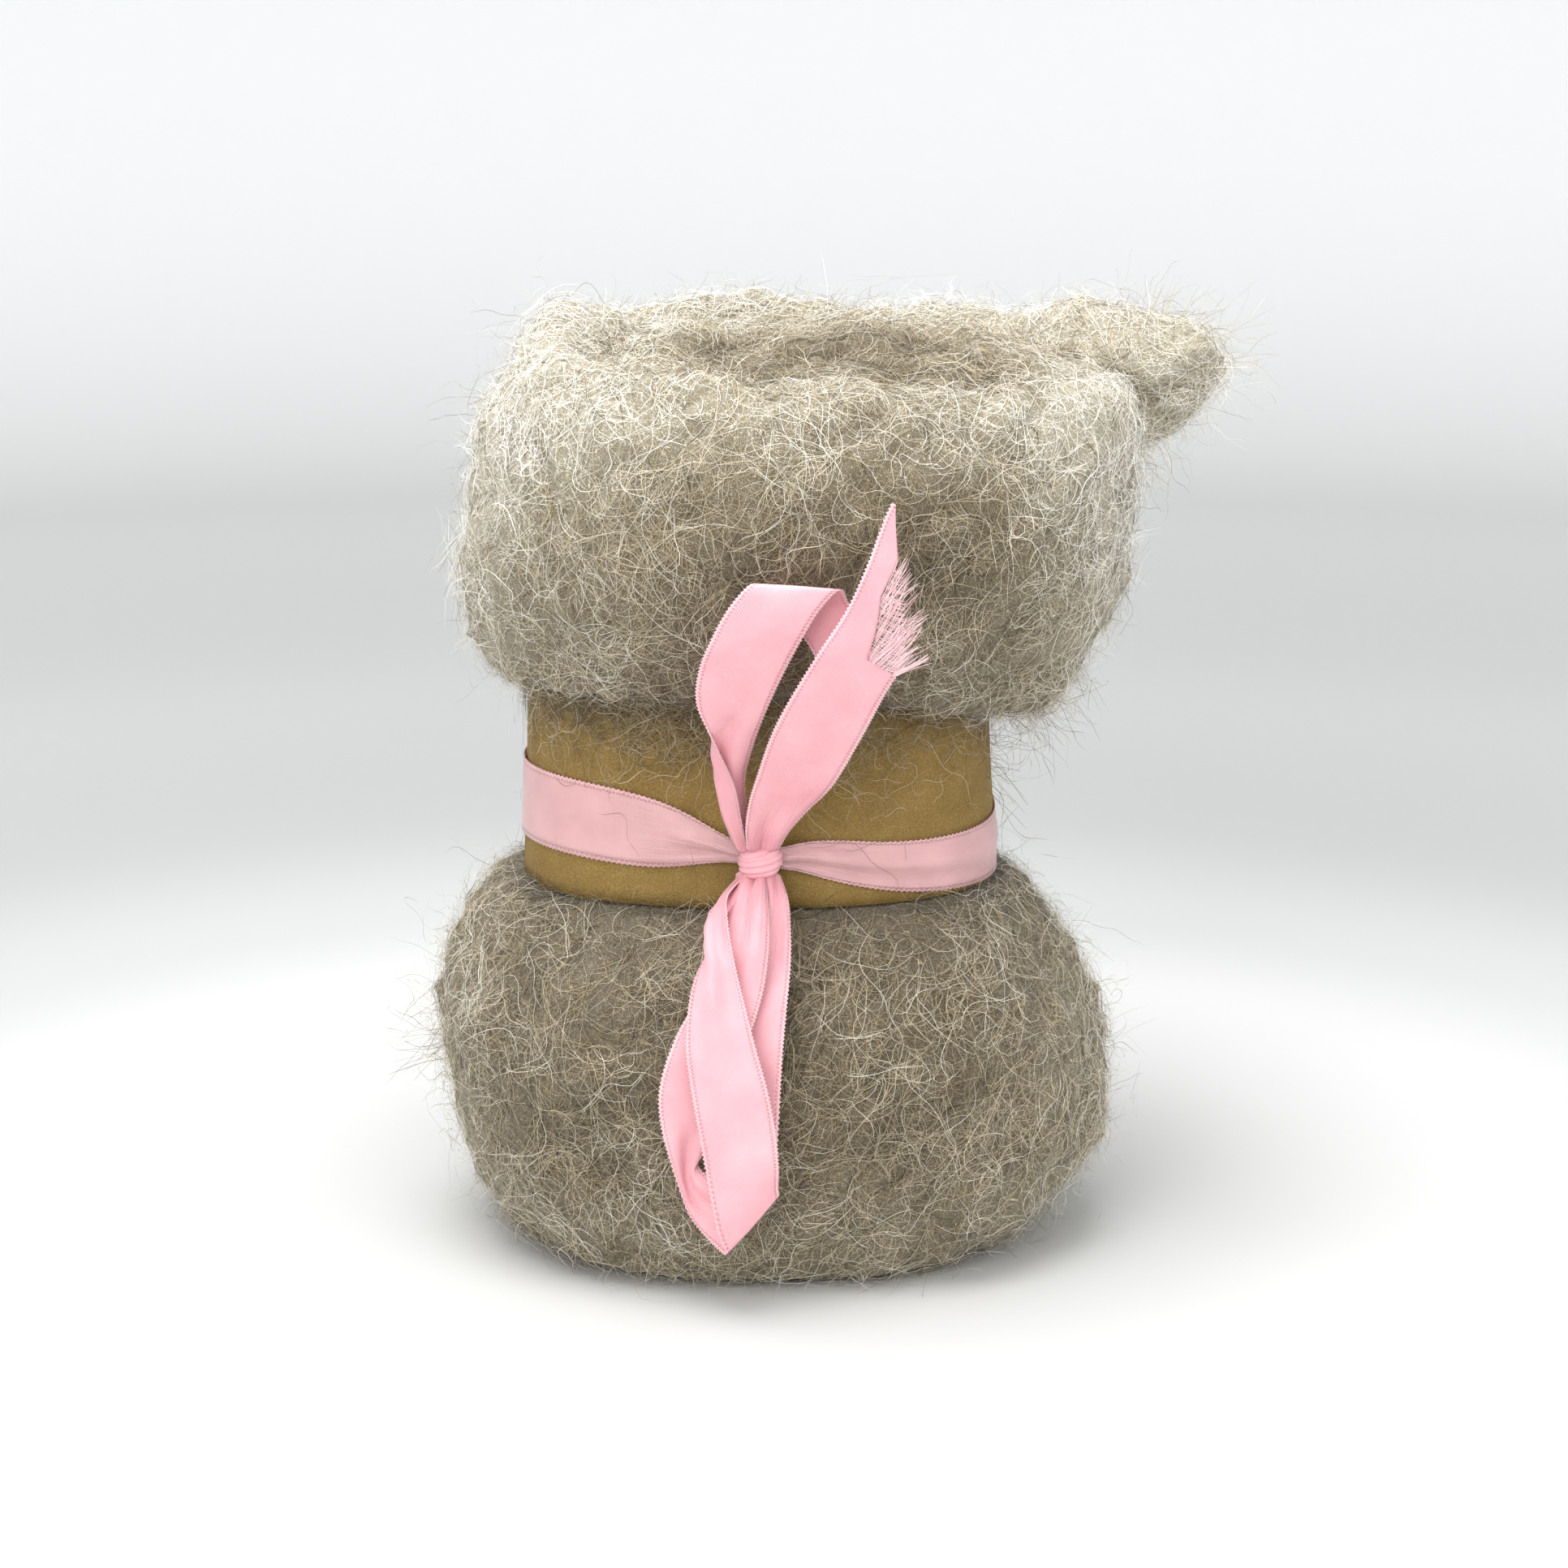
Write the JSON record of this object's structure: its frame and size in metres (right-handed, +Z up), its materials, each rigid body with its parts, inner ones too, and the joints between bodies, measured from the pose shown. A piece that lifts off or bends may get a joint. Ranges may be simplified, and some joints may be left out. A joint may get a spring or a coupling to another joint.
{
  "type": "rolled wool fiber batt with paper band and ribbon tie",
  "caption": "Carded wool batt wound into an upright roll, its waist drawn in by a kraft paper band and a tied ribbon bow.",
  "frame": {"origin": "middle of the flat base that the roll stands on", "axes": "+Z up along the roll's own axis, -Y towards the bow, +X to the right of someone facing the bow"},
  "size_m": [0.2019, 0.156, 0.2365],
  "materials": {
    "wool": "matt carded wool, grey-beige with pale and dark fibres mixed",
    "kraft_paper": "brown kraft paper, unglazed",
    "satin_ribbon": "pale pink satin, single faced"
  },
  "bodies": {
    "root": {"wool_batt": "wool", "paper_band": "kraft_paper", "ribbon_wrap": "satin_ribbon", "ribbon_knot": "satin_ribbon", "ribbon_loop_upper": "satin_ribbon", "ribbon_tail_upper": "satin_ribbon", "ribbon_loop_lower": "satin_ribbon", "ribbon_tail_lower": "satin_ribbon"}
  },
  "joints": []
}
